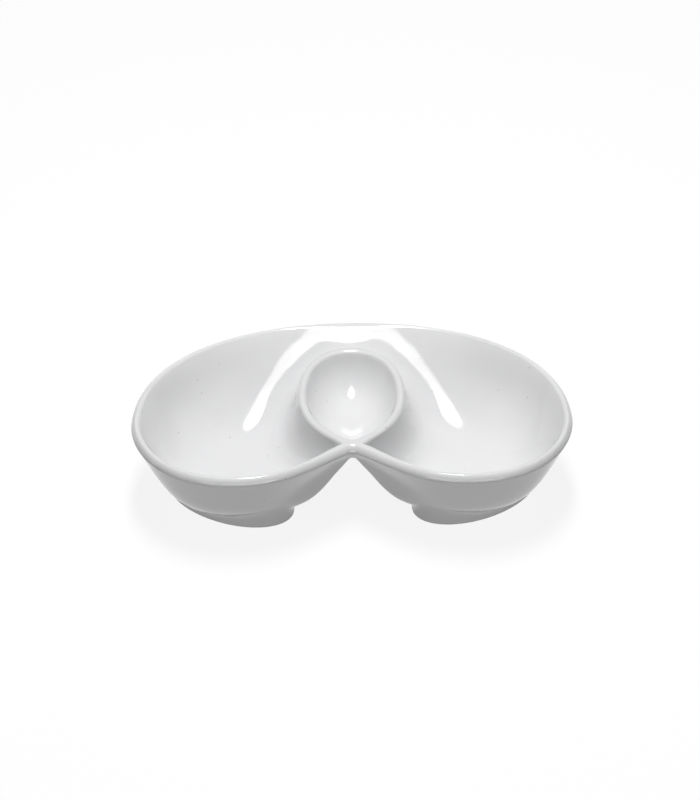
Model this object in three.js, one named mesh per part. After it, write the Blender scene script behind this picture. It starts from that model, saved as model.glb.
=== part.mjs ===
// A white porcelain serving dish: two deep bowls wrapped round a teardrop dip cup, on two foot rings.
// Millimetres, +Z up, origin on the table under the middle, +Y to the back, the cup's point to the front.

import * as THREE from 'three';
import { mergeVertices } from 'three/addons/utils/BufferGeometryUtils.js';

// Overall plan
const overallWidth = 210;
const overallDepth = 124;

// Rim: one round lip of the same thickness along the bowls and the cup, drooping on the bowls' outside
const rimThickness = 4.4;
const lipDrop = 3.2;
const lipBevel = 1.3;

// Gap left for the slip that joins the cast pieces
const jointGap = 0.3;

// Plan of the bowls' rim, along the middle of the lip
const widestLineY = -15;
const lobeFrontX = 54;
const notchDepth = 24.6;
const crossingAngle = THREE.MathUtils.degToRad(34);
const notchRadius = 8;

// Plan of the cup's rim, along the middle of the lip: its lengths start at the crossing
const cupHalfWidth = 23.7;
const cupWidestReach = 38.4;
const cupCentreReach = 45.2;
const saddleWidth = 22.1;
const cupApexRadius = 9;

// How full each stretch of rim is: handle lengths as a share of the stretch
const backHandle = 0.58;
const backSideHandle = 0.63;
const frontSideHandle = 0.42;
const frontHandle = 0.7;
const lobeToNotchHandle = 0.37;
const notchHandle = 0.45;
const cupApexHandle = 0.36;
const cupSideHandle = 0.4;
const cupShoulderHandle = 0.56;
const cupBackHandle = 0.68;

// Depths below the rim, and what lies under the floors of the bowls and the cup
const bowlDepth = 31.5;
const rampDepth = 10.9;
const saddleUndersideDepth = 13;
const cupDepth = 17.6;
const grooveDepth = 8.8;
const heelThickness = 10.7;
const notchLift = 7;
const footHollow = 6.5;
const cupFloorThickness = 6.2;
const tableClearance = 3.8;

// Inner walls of the bowls: how steep they start, and how hard they bend into the floor
const saddleWallAngle = THREE.MathUtils.degToRad(33.8);
const backWallAngle = THREE.MathUtils.degToRad(57.1);
const bowlWallAngle = THREE.MathUtils.degToRad(65.8);
const saddleTroughAngle = THREE.MathUtils.degToRad(60);
const troughWallAngle = THREE.MathUtils.degToRad(80.7);
const backBend = 1.91;
const floorBend = 2.15;
const cupSideBend = 1.5;

// The lip is broader on the saddle, and the lips widen into a web where they cross
const saddleLipRound = 6.7;
const crossingWeb = 6.6;
const webFade = 8;

// Outer walls of the bowls: gentle behind the saddle, steep at the sides, easing to the front
const saddleOuterAngle = THREE.MathUtils.degToRad(50);
const sideOuterAngle = THREE.MathUtils.degToRad(68.4);
const frontOuterAngle = THREE.MathUtils.degToRad(64.5);
const notchOuterAngle = THREE.MathUtils.degToRad(57);
const outerRound = 2;
const outerBend = 5;

// Walls of the cup: the fullness is the power of the curve, and 2 is a parabola
const cupWallAngle = THREE.MathUtils.degToRad(71);
const cupFullness = 2.84;
const cupUndersideFullness = 2.6;
const cupBend = 3;

// Trough: how far along the rim the saddle runs down, and how its sections are laid
const floorRunShare = 0.446;
const wallRunShare = 0.387;
const troughRunShare = 0.15;
const lipRunShare = 0.108;
const steepStartShare = 0.307;
const steepEndShare = 0.62;
const runPower = 2.05;
const valleyShare = 0.6;
const sectionHandle = 0.478;
const sectionSpread = 0.031;

// Foot rings: slanted ovals under the bowls, set in from the side and the front of the rim.
// A flare is how far the top stands out past the base: below 0 it stands back and leaves a ledge.
const footSideInset = 15.2;
const footFrontInset = 19.4;
const footSpacing = 56.6;
const footDepth = 46;
const footSlant = 0.43;
const footWall = 5;
const footEdge = 0.6;
const frontFlare = 3.5;
const endFlare = -1.3;
const flareStart = 1.6;
const flarePower = 0.8;

// Mesh steps
const stretchSteps = [14, 12, 12, 4];
const roundSteps = 3;
const wallSteps = 7;
const wallSpacing = 1.6;
const cupSpokes = 56;
const footSegments = 80;
const footTopSteps = 9;
const mergeDistance = 1e-4;
const tiny = 1e-6;

const rimRadius = rimThickness / 2;
const undersideDepth = bowlDepth + heelThickness;
const overallHeight = undersideDepth + tableClearance;
const crestHalfWidth = overallWidth / 2 - rimRadius - jointGap / 2;
const crestBackY = overallDepth / 2 - rimRadius;
const crestFrontY = -crestBackY;
const crossingY = crestFrontY + notchDepth;
const cupWidestY = crossingY + cupWidestReach;
const cupCentreY = crossingY + cupCentreReach;
const cupBackY = crestBackY - saddleWidth;
const cupLowest = cupDepth + cupFloorThickness;
const footHalfWidth = (overallWidth - footSpacing) / 4 - footSideInset / 2;
const footCentreX = footSpacing / 2 + footHalfWidth;
const footHalfDepth = footDepth / 2;
const footCentreY = footFrontInset + footHalfDepth - overallDepth / 2;
const footUpright = Math.sqrt(1 - footSlant ** 2);
const crossing = vector(0, crossingY);
const towardFront = vector(Math.cos(crossingAngle), -Math.sin(crossingAngle));
const towardBack = vector(Math.cos(crossingAngle), Math.sin(crossingAngle));

function vector(x, y) {
  return new THREE.Vector2(x, y);
}

function bezier(start, startHandle, endHandle, end) {
  return new THREE.CubicBezierCurve(start, start.clone().add(startHandle), end.clone().add(endHandle), end);
}

// Round between the two rims that cross: its tangent length, the offset of its apex and its handle
function fillet(radius) {
  return {
    tangentLength: radius * Math.tan(crossingAngle),
    apexOffset: radius * (1 / Math.cos(crossingAngle) - 1),
    handle: radius * 4 / 3 * Math.tan(crossingAngle / 4),
  };
}

// The bowls' rim from the middle of the back, round the lobe, to the notch in the front.
// Both rims are drawn for the right half, and the left half mirrors it.
function bowlRimStretches() {
  const notch = fillet(notchRadius);
  const back = vector(0, crestBackY);
  const side = vector(crestHalfWidth, widestLineY);
  const front = vector(lobeFrontX, crestFrontY);
  const notchStart = crossing.clone().addScaledVector(towardFront, notch.tangentLength);
  const notchEnd = vector(0, crossingY - notch.apexOffset);
  const notchReach = front.distanceTo(notchStart);
  return [
    bezier(back, vector(backHandle * crestHalfWidth, 0),
      vector(0, backSideHandle * (crestBackY - widestLineY)), side),
    bezier(side, vector(0, frontSideHandle * (crestFrontY - widestLineY)),
      vector(frontHandle * (crestHalfWidth - lobeFrontX), 0), front),
    bezier(front, vector(-lobeToNotchHandle * lobeFrontX, 0),
      towardFront.clone().multiplyScalar(notchHandle * notchReach), notchStart),
    bezier(notchStart, towardFront.clone().multiplyScalar(-notch.handle), vector(notch.handle, 0), notchEnd),
  ];
}

// The cup's rim from the middle of its back, round its side, to its rounded point in the front
function cupRimStretches() {
  const apex = fillet(cupApexRadius);
  const back = vector(0, cupBackY);
  const side = vector(cupHalfWidth, cupWidestY);
  const apexStart = crossing.clone().addScaledVector(towardBack, apex.tangentLength);
  const apexEnd = vector(0, crossingY + apex.apexOffset);
  const apexReach = side.distanceTo(apexStart);
  return [
    bezier(back, vector(cupBackHandle * cupHalfWidth, 0),
      vector(0, cupShoulderHandle * (cupBackY - cupWidestY)), side),
    bezier(side, vector(0, cupSideHandle * (crossingY - cupWidestY)),
      towardBack.clone().multiplyScalar(cupApexHandle * apexReach), apexStart),
    bezier(apexStart, towardBack.clone().multiplyScalar(-apex.handle), vector(apex.handle, 0), apexEnd),
  ];
}

function joinStretches(stretches) {
  const rail = new THREE.CurvePath();
  stretches.forEach((stretch) => rail.add(stretch));
  return rail;
}

const bowlStretches = bowlRimStretches();
const bowlRail = joinStretches(bowlStretches);
const cupRail = joinStretches(cupRimStretches());
const stretchEnds = bowlRail.getCurveLengths().map((length) => length / bowlRail.getLength());
const [sideShare, frontShare] = stretchEnds;

// Depth of an inner wall that starts as the lip's round and runs on straight at the given angle
function wallDepth(across, angle, radius) {
  const roundEnd = radius * Math.sin(angle);
  if (across < 0) {
    return 0;
  }
  if (across < roundEnd) {
    return radius - Math.sqrt(radius ** 2 - across ** 2);
  }
  return radius * (1 - Math.cos(angle)) + (across - roundEnd) * Math.tan(angle);
}

// Depth of the outer wall under the rim's outermost line: it rolls over and runs on straight
function outerDepth(beyond, angle) {
  const onRoll = Math.min(beyond, outerRound * (1 - Math.sin(angle)));
  return Math.sqrt((2 * outerRound - onRoll) * onRoll) + (beyond - onRoll) * Math.tan(angle);
}

// The least of several depths, with the changes between them rounded off
function blendDepths(depths, bend) {
  return depths.reduce((sum, depth) => sum + Math.max(depth, tiny) ** -bend, 0) ** (-1 / bend);
}

// Distances from the crest of a rim over its round and down the wall, closer together near the rim
function wallDistances(reach, angle, radius) {
  const roundEnd = Math.min(radius * Math.sin(angle), reach / 2);
  const distances = [];
  for (let step = 0; step < roundSteps; step += 1) {
    distances.push(roundEnd * Math.sin(Math.PI / 2 * step / roundSteps));
  }
  for (let step = 0; step < wallSteps; step += 1) {
    distances.push(roundEnd + (reach - roundEnd) * (step / wallSteps) ** wallSpacing);
  }
  return distances;
}

// Line across the trough from the bowls' rim to the cup's rim, square to both
function acrossTrough(share) {
  const cupShare = share + sectionSpread * Math.sin(2 * Math.PI * share);
  const outer = bowlRail.getPoint(share);
  const inner = cupRail.getPoint(cupShare);
  const outerTangent = bowlRail.getTangent(share);
  const innerTangent = cupRail.getTangent(cupShare);
  const inward = vector(outerTangent.y, -outerTangent.x);
  const outward = vector(-innerTangent.y, innerTangent.x);
  const handle = sectionHandle * outer.distanceTo(inner);
  const line = bezier(outer, inward.clone().multiplyScalar(handle), outward.multiplyScalar(handle), inner);
  return { line, inward, outer, width: line.getLength() };
}

// How far a change between two places on the rim has come, from 0 to 1
function eased(share, startShare, endShare) {
  const passed = THREE.MathUtils.clamp((share - startShare) / (endShare - startShare), 0, 1);
  return Math.sin(Math.PI / 2 * passed) ** runPower;
}

// A value that changes from the middle of the saddle to a place on the rim
function runDown(share, runShare, start, end) {
  return start + (end - start) * eased(share, 0, runShare);
}

function outerAngleAt(share) {
  return runDown(share, wallRunShare, saddleOuterAngle, sideOuterAngle)
    + (frontOuterAngle - sideOuterAngle) * eased(share, sideShare, frontShare)
    + (notchOuterAngle - frontOuterAngle) * eased(share, frontShare, 1);
}

// How far the underside is hollowed over a point of the plan inside a foot ring
function hollowAt(plan) {
  const along = (plan.x - footCentreX) / (footHalfWidth - footWall);
  const across = ((plan.y - footCentreY) / (footHalfDepth - footWall) - footSlant * along) / footUpright;
  return footHollow * Math.max(0, 1 - along ** 2 - across ** 2) ** 2;
}

// One closed section from the rim's outermost line over the top to the cup and back underneath
function bowlSection(share, isEnd) {
  const { line, inward, outer, width } = acrossTrough(share);
  const floor = runDown(share, floorRunShare, rampDepth, bowlDepth);
  const underside = runDown(share, floorRunShare, saddleUndersideDepth, undersideDepth)
    - notchLift * eased(share, frontShare, 1);
  const steep = eased(share, steepStartShare, steepEndShare);
  const innerAngle = runDown(share, wallRunShare, saddleWallAngle, backWallAngle)
    + (bowlWallAngle - backWallAngle) * steep;
  const bend = backBend + (floorBend - backBend) * steep;
  const lipRound = runDown(share, lipRunShare, saddleLipRound, rimRadius);
  const outerAngle = outerAngleAt(share);
  const troughAngle = runDown(share, troughRunShare, saddleTroughAngle, troughWallAngle);
  const valley = width * valleyShare;
  const web = crossingWeb * Math.exp(-width / webFade);
  const points = [];
  const planAt = (across) => (across < 0
    ? outer.clone().addScaledVector(inward, across)
    : line.getPointAt(Math.min(1, across / width)));
  const place = (plan, depth) => {
    points.push(new THREE.Vector3(isEnd ? 0 : plan.x, plan.y, overallHeight - depth));
  };
  const placeTop = (across) => {
    const backWall = blendDepths([wallDepth(across - web, innerAngle, lipRound), floor], bend);
    const cupSide = wallDepth(width - across - web, troughAngle, rimRadius);
    place(planAt(across), blendDepths([backWall, cupSide], cupSideBend));
  };
  const placeUnder = (across) => {
    const plan = planAt(across);
    const depth = blendDepths([
      lipDrop + outerDepth(across + rimRadius, outerAngle),
      grooveDepth + (width - across) * Math.tan(cupWallAngle),
      underside,
    ], outerBend);
    place(plan, depth - hollowAt(plan));
  };
  for (let step = 0; step < roundSteps; step += 1) {
    const angle = Math.PI / 2 * (1 - step / roundSteps);
    const lipAcross = -rimRadius * Math.sin(angle) ** lipBevel;
    const lipDepth = lipDrop * (1 - Math.max(0, Math.cos(angle)) ** lipBevel);
    place(planAt(lipAcross), lipDepth);
  }
  wallDistances(valley, innerAngle, lipRound).forEach(placeTop);
  placeTop(valley);
  wallDistances(width - valley, troughAngle, rimRadius).reverse()
    .forEach((distance) => placeTop(width - distance));
  for (let step = 0; step < wallSteps; step += 1) {
    placeUnder(width - (width - valley) * step / wallSteps);
  }
  const rollEnd = outerRound * (1 - Math.sin(outerAngle)) - rimRadius;
  for (let step = wallSteps; step >= 0; step -= 1) {
    placeUnder(rollEnd + (valley - rollEnd) * (step / wallSteps) ** wallSpacing);
  }
  return points;
}

// Where the sections stand along the rim, closer together where it turns sharply
function stationShares() {
  const shares = [0];
  let start = 0;
  stretchEnds.forEach((end, index) => {
    for (let step = 1; step <= stretchSteps[index]; step += 1) {
      shares.push(Math.min(1, start + (end - start) * step / stretchSteps[index]));
    }
    start = end;
  });
  return shares;
}

// Closed solid from points and triangles drawn for the right half, mirrored where side is -1
function solidFrom(points, triangles, side) {
  const geometry = new THREE.BufferGeometry();
  const positions = points.flatMap((point) => [side * point.x, point.y, point.z]);
  const order = side > 0 ? triangles : triangles.map(([a, b, c]) => [a, c, b]);
  geometry.setAttribute('position', new THREE.Float32BufferAttribute(positions, 3));
  geometry.setIndex(order.flat());
  return mergeVertices(geometry, mergeDistance);
}

// Two triangles for each step between two loops of points that run side by side
function addStrip(triangles, here, there, count, isClosed) {
  const steps = isClosed ? count : count - 1;
  for (let index = 0; index < steps; index += 1) {
    const next = (index + 1) % count;
    triangles.push([here + index, here + next, there + next]);
    triangles.push([here + index, there + next, there + index]);
  }
}

// A bowl: sections joined along the rim and closed by a flat face at the saddle and at the crossing
function bowlGeometry(side) {
  const shares = stationShares();
  const last = shares.length - 1;
  const sections = shares.map((share, index) => bowlSection(share, index === 0 || index === last));
  const count = sections[0].length;
  const triangles = [];
  for (let station = 0; station < last; station += 1) {
    addStrip(triangles, station * count, (station + 1) * count, count, true);
  }
  [0, last].forEach((station) => {
    const outline = sections[station].map((point) => vector(point.y, point.z));
    THREE.ShapeUtils.triangulateShape(outline, []).forEach(([a, b, c]) => {
      const isPlus = THREE.ShapeUtils.area([outline[a], outline[b], outline[c]]) > 0;
      const corners = isPlus ? [a, c, b] : [a, b, c];
      triangles.push(corners.map((corner) => corner + station * count));
    });
  });
  return solidFrom(sections.flat(), triangles, side);
}

// Depth along a spoke of the cup, from the rim's round down a full curve to the middle
function cupTop(reach) {
  const points = [];
  for (let step = 0; step < roundSteps + wallSteps; step += 1) {
    const across = reach * (step / (roundSteps + wallSteps)) ** wallSpacing;
    const curve = cupDepth * (1 - (1 - across / reach) ** cupFullness);
    const round = wallDepth(across, cupWallAngle, rimRadius);
    points.push({ across, depth: blendDepths([curve, round], cupBend) });
  }
  return points;
}

// Depth along a spoke of the cup's underside, from the middle out to the groove under the rim
function cupUnderside(reach) {
  const points = [];
  for (let step = 1; step <= wallSteps; step += 1) {
    const share = step / wallSteps;
    const depth = cupLowest - (cupLowest - grooveDepth) * share ** cupUndersideFullness;
    points.push({ across: reach * (1 - share), depth });
  }
  return points;
}

// The cup: spokes from the joint along its rim to the middle of its floor, above and below
function cupGeometry() {
  const centre = vector(0, cupCentreY);
  const points = [];
  const triangles = [];
  let count = 0;
  let topCount = 0;
  for (let spoke = 0; spoke < cupSpokes; spoke += 1) {
    const half = 2 * spoke / cupSpokes;
    const share = half <= 1 ? half : 2 - half;
    const tangent = cupRail.getTangent(share);
    const rim = cupRail.getPoint(share).addScaledVector(vector(tangent.y, -tangent.x), jointGap);
    rim.x *= half <= 1 ? 1 : -1;
    const reach = rim.distanceTo(centre);
    const top = cupTop(reach);
    const profile = [...top, ...cupUnderside(reach)];
    profile.forEach(({ across, depth }) => {
      const plan = rim.clone().lerp(centre, across / reach);
      points.push(new THREE.Vector3(plan.x, plan.y, overallHeight - depth));
    });
    count = profile.length;
    topCount = top.length;
  }
  const topCentre = points.push(new THREE.Vector3(0, cupCentreY, overallHeight - cupDepth)) - 1;
  const underCentre = points.push(new THREE.Vector3(0, cupCentreY, overallHeight - cupLowest)) - 1;
  for (let spoke = 0; spoke < cupSpokes; spoke += 1) {
    const here = spoke * count;
    const there = ((spoke + 1) % cupSpokes) * count;
    addStrip(triangles, here, there, topCount, false);
    addStrip(triangles, here + topCount, there + topCount, count - topCount, false);
    triangles.push([here + topCount - 1, topCentre, there + topCount - 1]);
    triangles.push([underCentre, here + topCount, there + topCount]);
    triangles.push([here + count - 1, here, there], [here + count - 1, there, there + count - 1]);
  }
  return solidFrom(points, triangles, 1);
}

// Height of a foot's top over a point of the plan: the joint's gap, square to the bowl's underside, below it
function footTop(bowl, plan) {
  const raycaster = new THREE.Raycaster(new THREE.Vector3(plan.x, plan.y, 0), new THREE.Vector3(0, 0, 1));
  const { point, face } = raycaster.intersectObject(bowl)[0];
  return point.z + jointGap / face.normal.z;
}

// A foot ring: a slanted oval wall from the table up to the bowl's underside, with a ledge at its ends
function footGeometry(side, rightBowl) {
  const points = [];
  const triangles = [];
  let count = 0;
  for (let segment = 0; segment < footSegments; segment += 1) {
    const angle = -2 * Math.PI * segment / footSegments;
    const outer = vector(
      footCentreX + footHalfWidth * Math.cos(angle),
      footCentreY + footHalfDepth * (footSlant * Math.cos(angle) + footUpright * Math.sin(angle)),
    );
    const inward = vector(
      -footHalfDepth * (footUpright * Math.cos(angle) - footSlant * Math.sin(angle)),
      -footHalfWidth * Math.sin(angle),
    ).normalize();
    const flare = endFlare + (frontFlare - endFlare) * Math.max(0, inward.y) ** flarePower;
    const place = (inset, height) => {
      const plan = outer.clone().addScaledVector(inward, inset);
      points.push(new THREE.Vector3(plan.x, plan.y, height ?? footTop(rightBowl, plan)));
    };
    count = points.length;
    const ledge = footTop(rightBowl, outer.clone().addScaledVector(inward, -flare));
    const upright = Math.min(1, Math.max(0, -flare));
    place(0, footEdge);
    place(0, flareStart + (ledge - flareStart) * upright);
    for (let step = 0; step <= footTopSteps; step += 1) {
      place((footWall + flare) * step / footTopSteps - flare);
    }
    place(footWall, footEdge);
    place(footWall - footEdge, 0);
    place(footEdge, 0);
    count = points.length - count;
  }
  for (let segment = 0; segment < footSegments; segment += 1) {
    addStrip(triangles, segment * count, ((segment + 1) % footSegments) * count, count, true);
  }
  return solidFrom(points, triangles, side);
}

const glaze = new THREE.MeshStandardMaterial({ color: 0xf4f4f2, roughness: 0.12, metalness: 0 });
const biscuit = new THREE.MeshStandardMaterial({ color: 0xe9e7e1, roughness: 0.7, metalness: 0 });

function piece(name, geometry, material, offset) {
  const mesh = new THREE.Mesh(geometry, material);
  mesh.name = name;
  mesh.position.x = offset;
  return mesh;
}

const dish = new THREE.Group();
const rightBowl = new THREE.Mesh(bowlGeometry(1), glaze);
[['left', -1], ['right', 1]].forEach(([hand, side]) => {
  const offset = side * jointGap / 2;
  dish.add(piece(`${hand}_bowl`, bowlGeometry(side), glaze, offset));
  dish.add(piece(`${hand}_foot_ring`, footGeometry(side, rightBowl), biscuit, offset));
});
dish.add(piece('dip_cup', cupGeometry(), glaze, 0));

export default dish;
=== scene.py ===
import math

import bpy
import numpy as np
from mathutils import Matrix, Vector
from mathutils.bvhtree import BVHTree


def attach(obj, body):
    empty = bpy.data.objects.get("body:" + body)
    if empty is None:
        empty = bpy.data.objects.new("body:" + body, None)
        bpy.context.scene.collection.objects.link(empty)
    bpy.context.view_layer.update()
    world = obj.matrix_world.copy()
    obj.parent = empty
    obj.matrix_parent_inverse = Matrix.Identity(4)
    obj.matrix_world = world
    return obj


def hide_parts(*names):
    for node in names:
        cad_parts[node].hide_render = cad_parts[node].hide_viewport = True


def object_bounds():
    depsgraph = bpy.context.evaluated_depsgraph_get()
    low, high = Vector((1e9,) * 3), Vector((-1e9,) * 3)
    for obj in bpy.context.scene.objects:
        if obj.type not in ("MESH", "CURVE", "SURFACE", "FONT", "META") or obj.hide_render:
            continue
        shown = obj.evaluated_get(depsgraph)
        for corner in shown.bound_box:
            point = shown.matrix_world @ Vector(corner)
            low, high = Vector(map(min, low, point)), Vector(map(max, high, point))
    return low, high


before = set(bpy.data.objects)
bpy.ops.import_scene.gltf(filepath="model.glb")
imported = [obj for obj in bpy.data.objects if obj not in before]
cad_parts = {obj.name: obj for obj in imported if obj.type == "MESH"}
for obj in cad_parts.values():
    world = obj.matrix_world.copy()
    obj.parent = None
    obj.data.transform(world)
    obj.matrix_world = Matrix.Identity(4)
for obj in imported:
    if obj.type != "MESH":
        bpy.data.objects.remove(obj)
cad_low, cad_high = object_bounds()

# The bowls: the left and right half of a bean-shaped trough with one bevelled lip, in white porcelain.
# A maker casts the dish from slip in a plaster mould, so its walls are smooth and of even thickness.
# The halves meet on the middle plane, at the saddle behind the cup and at the crossing in front.
mm = 0.001
overall_width, overall_depth, overall_height = (cad_high - cad_low) / mm
rim_radius = 2.2

# Plan of the bowls' lip, in millimetres, for the right half
widest_line_y = -15
lobe_front_x = 54
notch_depth = 24.6
crossing_angle = math.radians(34)
notch_radius = 8
back_handle = 0.58
back_side_handle = 0.63
front_side_handle = 0.42
front_handle = 0.7
lobe_to_notch_handle = 0.37
notch_handle = 0.45
curve_steps = 400
tangent_reach = 4e-4

crest_half_width = overall_width / 2 - rim_radius
crest_back_y = overall_depth / 2 - rim_radius
crossing_y = notch_depth - crest_back_y
crossing = np.array([0, crossing_y])
toward_front = np.array([math.cos(crossing_angle), -math.sin(crossing_angle)])
toward_back = np.array([math.cos(crossing_angle), math.sin(crossing_angle)])


def bezier(start, start_handle, end_handle, end):
    t = np.linspace(0, 1, curve_steps)[:, None]
    start, end = np.asarray(start, float), np.asarray(end, float)
    near, far = start + start_handle, end + end_handle
    return (1 - t) ** 3 * start + 3 * (1 - t) ** 2 * t * near + 3 * (1 - t) * t ** 2 * far + t ** 3 * end


# A round in the corner of the crossing: its reach along each line, its gap to the corner and its handle
def fillet(radius):
    tangent_length = radius * math.tan(crossing_angle)
    apex_offset = radius * (1 / math.cos(crossing_angle) - 1)
    handle = radius * 4 / 3 * math.tan(crossing_angle / 4)
    return tangent_length, apex_offset, handle


# One line through all the stretches, and the share of its length at each point
def joined(stretches):
    points = np.vstack([stretches[0]] + [stretch[1:] for stretch in stretches[1:]])
    lengths = np.concatenate([[0], np.cumsum(np.hypot(*np.diff(points, axis=0).T))])
    return points, lengths / lengths[-1]


def point_at(rail, share):
    points, passed = rail
    return np.stack([np.interp(share, passed, points[:, axis]) for axis in (0, 1)], -1)


def tangent_at(rail, share):
    after = point_at(rail, np.clip(share + tangent_reach, 0, 1))
    before = point_at(rail, np.clip(share - tangent_reach, 0, 1))
    step = after - before
    step[(share == 0) | (share == 1), 1] = 0
    return step / np.linalg.norm(step, axis=-1, keepdims=True)


def bowl_rim():
    tangent_length, apex_offset, handle = fillet(notch_radius)
    back = np.array([0, crest_back_y])
    side = np.array([crest_half_width, widest_line_y])
    front = np.array([lobe_front_x, -crest_back_y])
    notch_start = crossing + toward_front * tangent_length
    notch_end = np.array([0, crossing_y - apex_offset])
    notch_reach = np.linalg.norm(front - notch_start)
    return [
        bezier(back, [back_handle * crest_half_width, 0],
               [0, back_side_handle * (crest_back_y - widest_line_y)], side),
        bezier(side, [0, -front_side_handle * (crest_back_y + widest_line_y)],
               [front_handle * (crest_half_width - lobe_front_x), 0], front),
        bezier(front, [-lobe_to_notch_handle * lobe_front_x, 0],
               toward_front * notch_handle * notch_reach, notch_start),
        bezier(notch_start, -toward_front * handle, [handle, 0], notch_end),
    ]


# Plan of the cup's lip, which the bowls' inner edge follows
cup_half_width = 23.7
cup_widest_reach = 38.4
saddle_width = 22.1
cup_apex_radius = 9
cup_apex_handle = 0.36
cup_side_handle = 0.4
cup_shoulder_handle = 0.56
cup_back_handle = 0.68
cup_widest_y = crossing_y + cup_widest_reach
cup_back_y = crest_back_y - saddle_width


def cup_rim():
    tangent_length, apex_offset, handle = fillet(cup_apex_radius)
    back = np.array([0, cup_back_y])
    side = np.array([cup_half_width, cup_widest_y])
    apex_start = crossing + toward_back * tangent_length
    apex_end = np.array([0, crossing_y + apex_offset])
    apex_reach = np.linalg.norm(side - apex_start)
    return [
        bezier(back, [cup_back_handle * cup_half_width, 0],
               [0, cup_shoulder_handle * (cup_back_y - cup_widest_y)], side),
        bezier(side, [0, cup_side_handle * (crossing_y - cup_widest_y)],
               toward_back * cup_apex_handle * apex_reach, apex_start),
        bezier(apex_start, -toward_back * handle, [handle, 0], apex_end),
    ]


bowl_stretches = bowl_rim()
bowl_rail = joined(bowl_stretches)
cup_rail = joined(cup_rim())

# Depths below the crest of the lip, and what is added or hollowed underneath, in millimetres
bowl_depth = 31.5
ramp_depth = 10.9
saddle_underside = 13
groove_depth = 8.8
heel_thickness = 10.7
notch_lift = 7
foot_hollow = 6.5

# The lip's outer half: with a bevel of 1 it would be round, with 2 a flat chamfer
lip_drop = 3.2
lip_bevel = 1.3

# Slopes of the walls: inside the bowls, beside the cup and outside
saddle_wall_angle = math.radians(33.8)
back_wall_angle = math.radians(57.1)
bowl_wall_angle = math.radians(65.8)
saddle_trough_angle = math.radians(60)
trough_wall_angle = math.radians(80.7)
cup_wall_angle = math.radians(71)
saddle_outer_angle = math.radians(50)
side_outer_angle = math.radians(68.4)
front_outer_angle = math.radians(64.5)
notch_outer_angle = math.radians(57)

# Rounds and the web at the crossing in millimetres, and bends, which are sharper the larger the number
saddle_lip_round = 6.7
outer_round = 2
groove_round = 1.5
crossing_web = 6.6
web_fade = 8
back_bend = 1.91
floor_bend = 2.15
cup_side_bend = 1.5
outer_bend = 5

# Where along the rim its forms change, in shares of the way from the back to the crossing, and how gently
floor_run_share = 0.446
wall_run_share = 0.387
lip_run_share = 0.108
trough_run_share = 0.15
steep_start_share = 0.307
steep_end_share = 0.62
run_power = 2.05

# Sections across the trough, from the lip to the cup
valley_share = 0.6
section_handle = 0.478
section_spread = 0.031

# Oval of a foot ring, in whose middle the bowl's underside is hollowed
foot_side_inset = 15.2
foot_front_inset = 19.4
foot_spacing = 56.6
foot_depth = 46
foot_slant = 0.43
foot_wall = 5
foot_half_width = (overall_width - foot_spacing) / 4 - foot_side_inset / 2
foot_centre_x = foot_spacing / 2 + foot_half_width
foot_half_depth = foot_depth / 2
foot_centre_y = foot_front_inset + foot_half_depth - overall_depth / 2
foot_upright = math.sqrt(1 - foot_slant ** 2)

# Steps of the fine mesh, and a number that is all but zero
stretch_steps = (60, 48, 48, 18)
round_steps = 7
lip_steps = 11
wall_steps = 20
wall_spacing = 1.6
tiny = 1e-6


# A round edge that goes on as a straight wall
def wall_depth(across, angle, radius):
    across = np.maximum(across, 0)
    round_end = radius * math.sin(angle)
    on_round = radius - np.sqrt(radius ** 2 - np.minimum(across, round_end) ** 2)
    return on_round + np.maximum(across - round_end, 0) * math.tan(angle)


# The shallowest of the depths, with a soft bend from one to the next
def blend(depths, bend):
    return sum(np.maximum(depth, tiny) ** -bend for depth in depths) ** (-1 / bend)


def softened(depth, radius):
    return np.sqrt(depth ** 2 + radius ** 2) - radius


# The outside of the wall, which starts upright under the lip and turns in on a round
def outer_depth(beyond, angle):
    beyond = np.maximum(beyond, 0)
    round_end = outer_round * (1 - math.sin(angle))
    on_round = np.minimum(beyond, round_end)
    return np.sqrt((2 * outer_round - on_round) * on_round) + (beyond - on_round) * math.tan(angle)


# Runs smoothly from 0 to 1 between two places along the rim
def eased(share, start_share, end_share):
    passed = min(1, max(0, (share - start_share) / (end_share - start_share)))
    return math.sin(math.pi / 2 * passed) ** run_power


def run_down(share, run_share, start, end):
    return start + (end - start) * eased(share, 0, run_share)


def wall_distances(reach, angle, radius):
    round_end = min(radius * math.sin(angle), reach / 2)
    on_round = round_end * np.sin(np.pi / 2 * np.arange(round_steps) / round_steps)
    on_wall = round_end + (reach - round_end) * (np.arange(wall_steps) / wall_steps) ** wall_spacing
    return np.concatenate([on_round, on_wall])


def stretch_ends():
    lengths = np.array([np.hypot(*np.diff(stretch, axis=0).T).sum() for stretch in bowl_stretches])
    return np.concatenate([[0], np.cumsum(lengths)]) / lengths.sum()


def station_shares(ends):
    pieces = [start + (end - start) * np.arange(steps) / steps
              for start, end, steps in zip(ends[:-1], ends[1:], stretch_steps)]
    return np.concatenate(pieces + [[1.0]])


def cup_share_at(share):
    return share + section_spread * np.sin(2 * np.pi * share)


ends = stretch_ends()
side_share, front_share = ends[1], ends[2]
shares = station_shares(ends)
cup_shares = np.clip(cup_share_at(shares), 0, 1)
outer_points = point_at(bowl_rail, shares)
inner_points = point_at(cup_rail, cup_shares)
outer_tangents = tangent_at(bowl_rail, shares)
inner_tangents = tangent_at(cup_rail, cup_shares)
inward = np.stack([outer_tangents[:, 1], -outer_tangents[:, 0]], -1)
outward = np.stack([-inner_tangents[:, 1], inner_tangents[:, 0]], -1)


def hollow_at(plan):
    along = (plan[:, 0] - foot_centre_x) / (foot_half_width - foot_wall)
    back = (plan[:, 1] - foot_centre_y) / (foot_half_depth - foot_wall)
    across = (back - foot_slant * along) / foot_upright
    return foot_hollow * np.maximum(0, 1 - along ** 2 - across ** 2) ** 2


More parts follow.
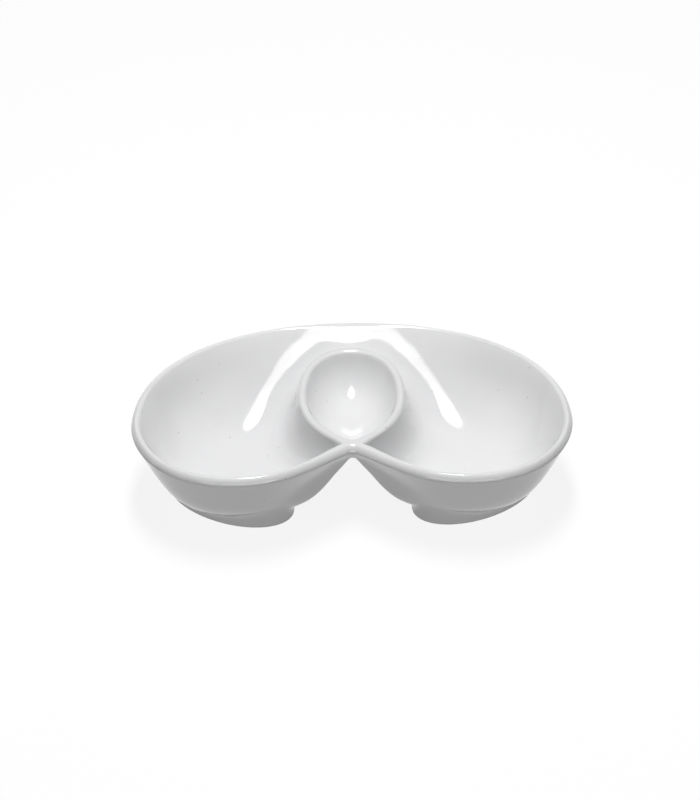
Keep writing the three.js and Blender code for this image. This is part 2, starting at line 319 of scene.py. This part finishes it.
def section_line(station):
    outer, inner = outer_points[station], inner_points[station]
    handle = section_handle * np.linalg.norm(outer - inner)
    line = bezier(outer, inward[station] * handle, outward[station] * handle, inner)
    width = np.hypot(*np.diff(line, axis=0).T).sum()
    return joined([line]), width


# The inside, from the cup's lip to the bowls' lip: distances from the bowls' lip, and depths
def trough_side(share, width):
    steep = eased(share, steep_start_share, steep_end_share)
    floor = run_down(share, floor_run_share, ramp_depth, bowl_depth)
    floor_blend = back_bend + (floor_bend - back_bend) * steep
    wall_angle = run_down(share, wall_run_share, saddle_wall_angle, back_wall_angle)
    wall_angle += (bowl_wall_angle - back_wall_angle) * steep
    trough_angle = run_down(share, trough_run_share, saddle_trough_angle, trough_wall_angle)
    lip_round = run_down(share, lip_run_share, saddle_lip_round, rim_radius)
    valley = width * valley_share
    from_lip = wall_distances(valley, wall_angle, lip_round)
    from_cup = wall_distances(width - valley, trough_angle, rim_radius)
    across = np.concatenate([width - from_cup, [valley], from_lip[::-1]])
    web = crossing_web * math.exp(-width / web_fade)
    back_wall = wall_depth(across - web, wall_angle, lip_round)
    cup_side = wall_depth(width - across - web, trough_angle, rim_radius)
    bowl = blend([back_wall, np.full_like(across, floor)], floor_blend)
    return across, blend([bowl, cup_side], cup_side_bend)


# The outer half of the lip, bevelled from its crest to where the wall starts
def lip_edge():
    turns = np.pi / 2 * np.arange(1, lip_steps + 1) / lip_steps
    across = -rim_radius * np.sin(turns) ** lip_bevel
    return across, lip_drop * (1 - np.maximum(np.cos(turns), 0) ** lip_bevel)


# The outside, from under the bowls' lip down the wall and up again to the groove round the cup
def outer_side(share, width):
    floor = run_down(share, floor_run_share, saddle_underside, bowl_depth + heel_thickness)
    floor -= notch_lift * eased(share, front_share, 1)
    wall_angle = run_down(share, wall_run_share, saddle_outer_angle, side_outer_angle)
    wall_angle += (front_outer_angle - side_outer_angle) * eased(share, side_share, front_share)
    wall_angle += (notch_outer_angle - front_outer_angle) * eased(share, front_share, 1)
    valley = width * valley_share
    turns = (np.pi / 2 - wall_angle) * np.arange(1, round_steps + 1) / round_steps
    steps = np.arange(1, wall_steps + 1) / wall_steps
    roll = outer_round * (1 - np.cos(turns)) - rim_radius
    down = roll[-1] + (valley - roll[-1]) * steps ** wall_spacing
    up = valley + (width - valley) * steps
    across = np.concatenate([roll, down, up])
    wall = lip_drop + outer_depth(across + rim_radius, wall_angle)
    groove = groove_depth + softened((width - across) * math.tan(cup_wall_angle), groove_round)
    return across, blend([wall, groove, np.full_like(across, floor)], outer_bend)


def bowl_section(station):
    line, width = section_line(station)
    outside = outer_side(shares[station], width)
    sides = (trough_side(shares[station], width), lip_edge(), outside)
    across, depth = (np.concatenate(values) for values in zip(*sides))
    plan = point_at(line, np.clip(across / width, 0, 1))
    plan += inward[station] * np.minimum(across, 0)[:, None]
    under = slice(-len(outside[0]), None)
    depth[under] -= hollow_at(plan[under])
    return np.column_stack([plan, overall_height - depth])


def strip_faces(here, there, count):
    return [(here + k, there + k, there + k + 1, here + k + 1) for k in range(count - 1)]


def smooth_normals(points, faces):
    normals = np.zeros_like(points)
    for face in faces:
        corners = points[list(face)]
        across, along = corners[2] - corners[0], corners[-1] - corners[1]
        normals[list(face)] += np.cross(across, along)
    return normals / np.maximum(np.linalg.norm(normals, axis=1, keepdims=True), tiny)


# A smooth mesh: shown faces take the given normals, and hidden ones at the seams stay flat
def glazed_piece(name, points, shown, hidden, normals):
    mesh = bpy.data.meshes.new(name)
    mesh.from_pydata((points * mm).tolist(), [], shown + hidden)
    mesh.polygons.foreach_set("use_smooth", [True] * len(mesh.polygons))
    mesh.update()
    loop_normals = []
    for index, polygon in enumerate(mesh.polygons):
        is_shown = index < len(shown)
        for corner in polygon.vertices:
            loop_normals.append(tuple(normals[corner]) if is_shown else tuple(polygon.normal))
    mesh.normals_split_custom_set(loop_normals)
    piece = bpy.data.objects.new(name, mesh)
    bpy.context.scene.collection.objects.link(piece)
    return piece


def noise(nodes, links, place, scale, detail):
    texture = nodes.new("ShaderNodeTexNoise")
    texture.inputs["Scale"].default_value = scale
    texture.inputs["Detail"].default_value = detail
    links.new(place, texture.inputs["Vector"])
    return texture.outputs["Fac"]


def ramp(nodes, links, value, stops):
    colours = nodes.new("ShaderNodeValToRGB")
    for element, (position, colour) in zip(colours.color_ramp.elements, stops):
        element.position = position
        element.color = (*colour, 1)
    links.new(value, colours.inputs["Fac"])
    return colours.outputs["Color"]


def value_node(nodes, links, operation, *values):
    node = nodes.new("ShaderNodeMath")
    node.operation = operation
    for socket, value in zip(node.inputs, values):
        if isinstance(value, (int, float)):
            socket.default_value = value
        else:
            links.new(value, socket)
    return node.outputs[0]


def mixed(nodes, links, share, below, above):
    mix = nodes.new("ShaderNodeMix")
    mix.data_type = "RGBA"
    links.new(share, mix.inputs["Factor"])
    colour_sockets = [socket for socket in mix.inputs if socket.type == "RGBA"]
    for socket, colour in zip(colour_sockets, (below, above)):
        if isinstance(colour, tuple):
            socket.default_value = (*colour, 1)
        else:
            links.new(colour, socket)
    return next(socket for socket in mix.outputs if socket.type == "RGBA")


# The glaze: a cool white that pools a little unevenly, with fine specks and a slight wave in its gloss
thin_glaze = (0.735, 0.737, 0.743)
deep_glaze = (0.765, 0.766, 0.77)
speck_colour = (0.42, 0.41, 0.40)
pool_scale = 22
pool_detail = 4
pool_edges = (0.35, 0.65)
speck_scale = 210
speck_size = 0.1
speck_chance = 0.5
speck_strength = 0.6
wave_scale = 48
plain_detail = 1
peel_scale = 380
peel_share = 0.02
wave_height = 0.00012
glaze_ior = 1.5
smooth_roughness = 0.045
dull_roughness = 0.085
roughness_detail = 2


def glaze_tone(nodes, links, place):
    pools = noise(nodes, links, place, pool_scale, pool_detail)
    pooled = ramp(nodes, links, pools, zip(pool_edges, (thin_glaze, deep_glaze)))
    cells = nodes.new("ShaderNodeTexVoronoi")
    cells.inputs["Scale"].default_value = speck_scale
    links.new(place, cells.inputs["Vector"])
    chance = nodes.new("ShaderNodeSeparateColor")
    links.new(cells.outputs["Color"], chance.inputs[0])
    chosen = value_node(nodes, links, "LESS_THAN", chance.outputs["Red"], speck_chance)
    size = value_node(nodes, links, "MULTIPLY", chance.outputs["Green"], speck_size)
    dot = value_node(nodes, links, "LESS_THAN", cells.outputs["Distance"], size)
    speck = value_node(nodes, links, "MULTIPLY", chosen, dot)
    shown = value_node(nodes, links, "MULTIPLY", speck, speck_strength)
    return mixed(nodes, links, shown, pooled, speck_colour)


def glaze_roughness(nodes, links, place):
    unevenness = noise(nodes, links, place, pool_scale, roughness_detail)
    roughness_range = dull_roughness - smooth_roughness
    return value_node(nodes, links, "MULTIPLY_ADD", unevenness, roughness_range, smooth_roughness)


def glaze_wave(nodes, links, place):
    dimples = noise(nodes, links, place, peel_scale, plain_detail)
    peel = value_node(nodes, links, "MULTIPLY", dimples, peel_share)
    wave = value_node(nodes, links, "ADD", noise(nodes, links, place, wave_scale, plain_detail), peel)
    bump = nodes.new("ShaderNodeBump")
    bump.inputs["Strength"].default_value = 1
    bump.inputs["Distance"].default_value = wave_height
    links.new(wave, bump.inputs["Height"])
    return bump.outputs["Normal"]


def porcelain(name):
    material = bpy.data.materials.new(name)
    material.use_nodes = True
    nodes, links = material.node_tree.nodes, material.node_tree.links
    shader = nodes["Principled BSDF"]
    shader.inputs["IOR"].default_value = glaze_ior
    place = nodes.new("ShaderNodeTexCoord").outputs["Object"]
    links.new(glaze_wave(nodes, links, place), shader.inputs["Normal"])
    return material, nodes, links, shader, place


def glaze_material():
    material, nodes, links, shader, place = porcelain("white_glaze")
    links.new(glaze_tone(nodes, links, place), shader.inputs["Base Color"])
    links.new(glaze_roughness(nodes, links, place), shader.inputs["Roughness"])
    return material


white_glaze = glaze_material()
sections = np.array([bowl_section(station) for station in range(len(shares))])
sections[[0, -1], :, 0] = 0
station_count, section_count, _ = sections.shape
bowl_points = sections.reshape(-1, 3)
bowl_shown = [face for station in range(station_count - 1)
              for face in strip_faces(station * section_count, (station + 1) * section_count, section_count)]
bowl_seam = [(station * section_count, (station + 1) * section_count - 1,
              (station + 2) * section_count - 1, (station + 1) * section_count)
             for station in range(station_count - 1)]
last_station = (station_count - 1) * section_count
saddle_end = tuple(range(section_count))
crossing_end = tuple(reversed(range(last_station, last_station + section_count)))
bowl_normals = smooth_normals(bowl_points, bowl_shown)
bowl_normals[::section_count] = (0, 0, 1)
bowl_normals[:section_count, 0] = 0
bowl_normals[last_station:, 0] = 0
bowl_normals /= np.linalg.norm(bowl_normals, axis=1, keepdims=True)


def turned(faces, side):
    return [face if side > 0 else face[::-1] for face in faces]


bowls = {}
for hand, side in (("left", -1), ("right", 1)):
    mirror = np.array([side, 1, 1])
    bowl = glazed_piece(f"{hand}_bowl_body", bowl_points * mirror, turned(bowl_shown, side),
                        turned(bowl_seam + [saddle_end, crossing_end], side), bowl_normals * mirror)
    bowl.data.materials.append(white_glaze)
    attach(bowl, "root")
    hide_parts(f"{hand}_bowl")
    bowls[hand] = bowl

# The dip cup: a teardrop cup of the same porcelain between the bowls, whose lip it shares.
# Its wall drops full and round to a small floor, and its underside follows the same form.
# A maker joins it to the bowls with slip, and the glaze runs over the seam.
cup_centre_reach = 45.2
cup_depth = 17.6
cup_floor_thickness = 6.2
cup_fullness = 2.84
cup_underside_fullness = 2.6
cup_bend = 3
cup_steps = 34
cup_centre = np.array([0, crossing_y + cup_centre_reach])
cup_lowest = cup_depth + cup_floor_thickness


def cup_spoke(rim, groove):
    reach = np.linalg.norm(cup_centre - rim)
    along = (np.arange(cup_steps) / cup_steps) ** wall_spacing
    curve = cup_depth * (1 - (1 - along) ** cup_fullness)
    top_depth = blend([curve, wall_depth(along * reach, cup_wall_angle, rim_radius)], cup_bend)
    outward_share = np.arange(1, cup_steps + 1) / cup_steps
    fullest = cup_lowest - groove
    hang = fullest * (1 - outward_share ** cup_underside_fullness)
    under_depth = groove + softened(hang, groove_round) * fullest / softened(fullest, groove_round)
    share = np.concatenate([along, 1 - outward_share])[:, None]
    depth = np.concatenate([top_depth, under_depth])
    return np.column_stack([rim + (cup_centre - rim) * share, overall_height - depth])


grooves = overall_height - sections[:, -1, 2]
right_spokes = [cup_spoke(rim, groove) for rim, groove in zip(inner_points, grooves)]
left_spokes = [spoke * np.array([-1, 1, 1]) for spoke in right_spokes[-2:0:-1]]
spokes = right_spokes + left_spokes
spoke_count = len(spokes)
spoke_length = 2 * cup_steps
cup_points = np.vstack(spokes + [[*cup_centre, overall_height - cup_depth],
                                 [*cup_centre, overall_height - cup_lowest]])
top_centre = spoke_count * spoke_length
under_centre = top_centre + 1
cup_shown = []
cup_seam = []
for spoke in range(spoke_count):
    here = spoke * spoke_length
    there = (spoke + 1) % spoke_count * spoke_length
    cup_shown += turned(strip_faces(here, there, cup_steps), -1)
    cup_shown += turned(strip_faces(here + cup_steps, there + cup_steps, cup_steps), -1)
    cup_shown.append((here + cup_steps - 1, top_centre, there + cup_steps - 1))
    cup_shown.append((under_centre, here + cup_steps, there + cup_steps))
    cup_seam.append((here + spoke_length - 1, here, there, there + spoke_length - 1))
cup_normals = smooth_normals(cup_points, cup_shown)
cup_normals[:top_centre:spoke_length] = (0, 0, 1)
cup = glazed_piece("dip_cup_body", cup_points, cup_shown, cup_seam, cup_normals)
cup.data.materials.append(white_glaze)
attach(cup, "root")
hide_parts("dip_cup")

# The foot rings: a low slanted oval of porcelain under each bowl, joined with slip and glazed over.
# A ring flares out to the wall in front and leaves a narrow ledge at its ends, where its reach is below 0.
# The edge that stands on the table is wiped bare before the firing, so that it doesn't stick.
foot_edge = 0.9
foot_segments = 180
front_flare_reach = 3.5
end_flare_reach = -1.3
flare_corner = 0.1
soft_corner = 2 / 3
sharp_ledge = 1
flare_start = 1.6
inner_flare_reach = 1.5
flare_power = 0.8
flare_steps = 12
edge_steps = 5
sunk = 0.08
right_body = BVHTree.FromObject(bowls["right"], bpy.context.evaluated_depsgraph_get())


# The height and the normal of the bowl's underside above a point of the table
def underside(plan):
    start = Vector((plan[0] * mm, plan[1] * mm, -overall_height * mm))
    place, normal, _, _ = right_body.ray_cast(start, Vector((0, 0, 1)))
    return place.z / mm, np.array(normal)


# The ring's side, which curves from its foot up to the bowl's underside
def flare(base, direction, reach):
    tip = base + direction * reach
    height, normal = underside(tip)
    slope = -(normal[:2] @ direction) / normal[2]
    corner_out = flare_corner * max(reach, 0)
    corner = max(height - slope * (max(reach, 0) - corner_out), flare_start)
    hold = soft_corner + (1 - soft_corner) * min(1, max(0, -reach) / sharp_ledge)
    t = np.linspace(0, 1, flare_steps)
    to_corner, from_corner = 3 * (1 - t) ** 2 * t, 3 * (1 - t) * t ** 2
    out = to_corner * hold * corner_out
    out += from_corner * (reach + hold * (corner_out - reach)) + t ** 3 * reach
    rise = (1 - t) ** 3 * flare_start + to_corner * (flare_start + hold * (corner - flare_start))
    rise += from_corner * (height + hold * (corner - height)) + t ** 3 * height
    rise[-1] += sunk
    return np.column_stack([base + direction * out[:, None], rise]), normal


def foot_section(angle):
    outer = np.array([
        foot_centre_x + foot_half_width * math.cos(angle),
        foot_centre_y + foot_half_depth * (foot_slant * math.cos(angle) + foot_upright * math.sin(angle)),
    ])
    out = np.array([foot_half_depth * (foot_upright * math.cos(angle) - foot_slant * math.sin(angle)),
                    foot_half_width * math.sin(angle)])
    out /= np.linalg.norm(out)
    inner = outer - out * foot_wall
    turn = np.linspace(0, np.pi / 2, edge_steps)
    edge = foot_edge * np.column_stack([1 - np.sin(turn), 1 - np.cos(turn)])
    outer_edge = np.column_stack([outer - out * edge[:, :1], edge[:, 1]])
    inner_edge = np.column_stack([inner + out * edge[:, :1], edge[:, 1]])
    facing_front = max(0, -out[1]) ** flare_power
    flare_reach = end_flare_reach + (front_flare_reach - end_flare_reach) * facing_front
    outer_flare, outer_normal = flare(outer, out, flare_reach)
    inner_flare, inner_normal = flare(inner, -out, inner_flare_reach)
    section = np.vstack([outer_edge, outer_flare, inner_flare[::-1], inner_edge[::-1]])
    return section, outer_normal, inner_normal


foot_sections, foot_outer_normals, foot_inner_normals = zip(
    *[foot_section(2 * math.pi * segment / foot_segments) for segment in range(foot_segments)])
foot_count = len(foot_sections[0])
foot_points = np.vstack(foot_sections)
outer_tip = edge_steps + flare_steps - 1
foot_shown = []
foot_hidden = []
for segment in range(foot_segments):
    here = segment * foot_count
    there = (segment + 1) % foot_segments * foot_count
    for k in range(foot_count):
        follow = (k + 1) % foot_count
        face = (here + k, there + k, there + follow, here + follow)
        faces = foot_hidden if k in (outer_tip, foot_count - 1) else foot_shown
        faces.append(face)
foot_normals = smooth_normals(foot_points, foot_shown)
foot_normals[outer_tip::foot_count] = foot_outer_normals
foot_normals[outer_tip + 1::foot_count] = foot_inner_normals

# The bare edge: matt, slightly warm biscuit up to a wavering line where the glaze starts
biscuit_pale = (0.80, 0.78, 0.74)
biscuit_dark = (0.70, 0.67, 0.62)
biscuit_roughness = 0.75
bare_height = 0.0006
bare_waver = 0.0008
grain_scale = 900
grain_detail = 3
grain_edges = (0.35, 0.6)
waver_scale = 120
waver_detail = 2


def foot_material():
    material, nodes, links, shader, place = porcelain("glazed_foot")
    spot = nodes.new("ShaderNodeSeparateXYZ")
    links.new(place, spot.inputs[0])
    waver = noise(nodes, links, place, waver_scale, waver_detail)
    line = value_node(nodes, links, "MULTIPLY_ADD", waver, bare_waver, bare_height)
    bare = value_node(nodes, links, "LESS_THAN", spot.outputs["Z"], line)
    grains = noise(nodes, links, place, grain_scale, grain_detail)
    grain = ramp(nodes, links, grains, zip(grain_edges, (biscuit_dark, biscuit_pale)))
    tone = mixed(nodes, links, bare, glaze_tone(nodes, links, place), grain)
    links.new(tone, shader.inputs["Base Color"])
    glossy = glaze_roughness(nodes, links, place)
    matt = value_node(nodes, links, "MULTIPLY", bare, biscuit_roughness)
    links.new(value_node(nodes, links, "MAXIMUM", glossy, matt), shader.inputs["Roughness"])
    return material


glazed_foot = foot_material()
for hand, side in (("left", -1), ("right", 1)):
    mirror = np.array([side, 1, 1])
    foot = glazed_piece(f"{hand}_foot", foot_points * mirror, turned(foot_shown, side),
                        turned(foot_hidden, side), foot_normals * mirror)
    foot.data.materials.append(glazed_foot)
    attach(foot, "root")
    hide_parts(f"{hand}_foot_ring")

# The table and the studio: a plain white paper ground, a soft box overhead, a low board and a dim room.
# The ground shows white to the camera and in reflections, and keeps the dish's shadow.
# The soft box has a dimmer skirt round its bright middle, so its mirrored edge on the glaze is soft.
ground_half = 3.0
paper_tone = 0.08
table_glow = 0.05
seen_glow = 0.88
ground_mesh = bpy.data.meshes.new("ground")
ground_mesh.from_pydata([(-ground_half, -ground_half, 0), (ground_half, -ground_half, 0),
                         (ground_half, ground_half, 0), (-ground_half, ground_half, 0)], [], [(0, 1, 2, 3)])
ground = bpy.data.objects.new("ground", ground_mesh)
bpy.context.scene.collection.objects.link(ground)


def ground_material():
    material = bpy.data.materials.new("white_ground")
    material.use_nodes = True
    nodes, links = material.node_tree.nodes, material.node_tree.links
    nodes.clear()
    output = nodes.new("ShaderNodeOutputMaterial")
    rays = nodes.new("ShaderNodeLightPath")
    seen = rays.outputs["Is Camera Ray"]
    for kind in ("Is Glossy Ray", "Is Transmission Ray"):
        seen = value_node(nodes, links, "MAXIMUM", seen, rays.outputs[kind])
    paper = nodes.new("ShaderNodeBsdfDiffuse")
    tone = value_node(nodes, links, "MULTIPLY_ADD", seen, 1 - paper_tone, paper_tone)
    links.new(tone, paper.inputs["Color"])
    glow = nodes.new("ShaderNodeEmission")
    mix = nodes.new("ShaderNodeMixShader")
    glow_share = value_node(nodes, links, "MULTIPLY_ADD", seen, seen_glow - table_glow, table_glow)
    links.new(glow_share, mix.inputs["Fac"])
    links.new(paper.outputs[0], mix.inputs[1])
    links.new(glow.outputs[0], mix.inputs[2])
    links.new(mix.outputs[0], output.inputs["Surface"])
    return material


ground_mesh.materials.append(ground_material())

# The room: a dim grey, darker towards the ceiling
room_low = (0.11, 0.11, 0.11)
room_high = (0.04, 0.04, 0.042)
room = bpy.data.worlds.new("room")
room.use_nodes = True
bpy.context.scene.world = room
room_nodes, room_links = room.node_tree.nodes, room.node_tree.links
direction = room_nodes.new("ShaderNodeTexCoord").outputs["Generated"]
height = room_nodes.new("ShaderNodeSeparateXYZ")
room_links.new(direction, height.inputs[0])
room_tone = ramp(room_nodes, room_links, height.outputs["Z"], zip((0, 1), (room_low, room_high)))
room_links.new(room_tone, room_nodes["Background"].inputs["Color"])

# The lamps, in metres and watts
soft_box_place = (0, 0.083, 1.2)
soft_box_watts = 11.3
soft_box_size = (0.2, 0.58)
soft_skirt_place = (0, 0.083, 1.21)
soft_skirt_watts = 2.9
soft_skirt_size = (0.22, 0.84)
fill_board_place = (0, -1.5, 0.105)
fill_board_watts = 6.8
fill_board_size = (1.8, 0.2)
facing_down = 0
facing_back = math.radians(90)


def lamp(name, shape, size, watts, place, tilt):
    light = bpy.data.lights.new(name, "AREA")
    light.shape = shape
    light.size, light.size_y = size
    light.energy = watts
    holder = bpy.data.objects.new(name, light)
    holder.location = place
    holder.rotation_euler.x = tilt
    bpy.context.scene.collection.objects.link(holder)


lamp("soft_box", "ELLIPSE", soft_box_size, soft_box_watts, soft_box_place, facing_down)
lamp("soft_skirt", "ELLIPSE", soft_skirt_size, soft_skirt_watts, soft_skirt_place, facing_down)
lamp("fill_board", "RECTANGLE", fill_board_size, fill_board_watts, fill_board_place, facing_back)

# The camera: it looks down on the front of the dish through a long lens, a little turned and rolled.
# It aims at the middle of the dish at the height of the lip, moved a little to frame it.
camera_elevation = math.radians(38)
camera_turn = math.radians(0.36)
camera_roll = math.radians(0.67)
camera_distance = 1.0
camera_lens = 93.55
aim_right = -0.00072
aim_up = -0.00178
looking = Vector((math.sin(camera_turn) * math.cos(camera_elevation),
                  math.cos(camera_turn) * math.cos(camera_elevation), -math.sin(camera_elevation)))
right = looking.cross(Vector((0, 0, 1))).normalized()
up = right.cross(looking)
target = Vector((0, 0, cad_high.z)) + right * aim_right + up * aim_up
rolled_right = right * math.cos(camera_roll) - up * math.sin(camera_roll)
rolled_up = up * math.cos(camera_roll) + right * math.sin(camera_roll)
camera = bpy.data.objects.new("camera", bpy.data.cameras.new("camera"))
camera.data.lens = camera_lens
camera.matrix_world = Matrix((
    (rolled_right.x, rolled_up.x, -looking.x, 0),
    (rolled_right.y, rolled_up.y, -looking.y, 0),
    (rolled_right.z, rolled_up.z, -looking.z, 0),
    (0, 0, 0, 1),
))
camera.matrix_world.translation = target - looking * camera_distance
bpy.context.scene.collection.objects.link(camera)
bpy.context.scene.camera = camera
bpy.context.scene.view_settings.view_transform = "Standard"
